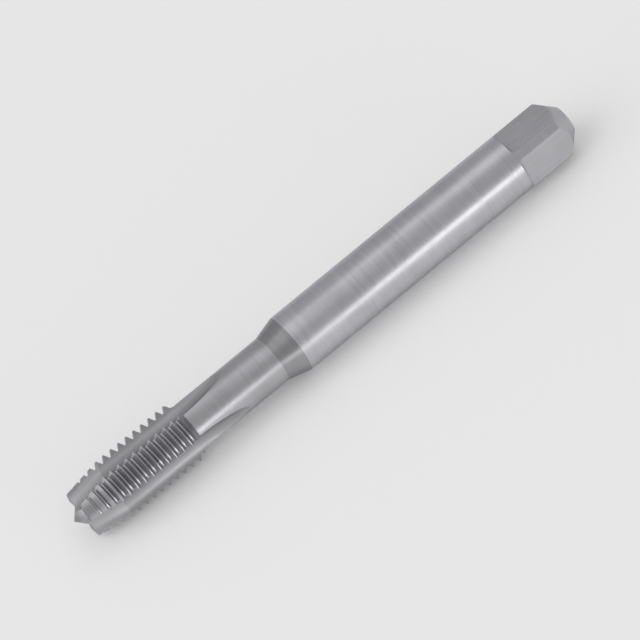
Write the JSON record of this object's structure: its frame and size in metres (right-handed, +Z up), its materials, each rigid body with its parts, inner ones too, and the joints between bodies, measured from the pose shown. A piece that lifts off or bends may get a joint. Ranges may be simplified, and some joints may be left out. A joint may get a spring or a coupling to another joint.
{
  "type": "spiral point tap",
  "caption": "Straight-fluted machine tap with a spiral point: a chamfered thread end with gashed flutes, a ground neck and shank, and a square at the rear for driving it.",
  "frame": {"origin": "on the tap's axis, halfway along the round part of the shank", "axes": "+X runs along the axis from the tip to the drive square, +Z is up as the tap lies on one land and its shank"},
  "size_m": [0.0985, 0.01, 0.01],
  "materials": {
    "tool_steel": "high-speed steel, ground all over to a satin finish"
  },
  "bodies": {
    "root": {"tap": "tool_steel"}
  },
  "joints": []
}
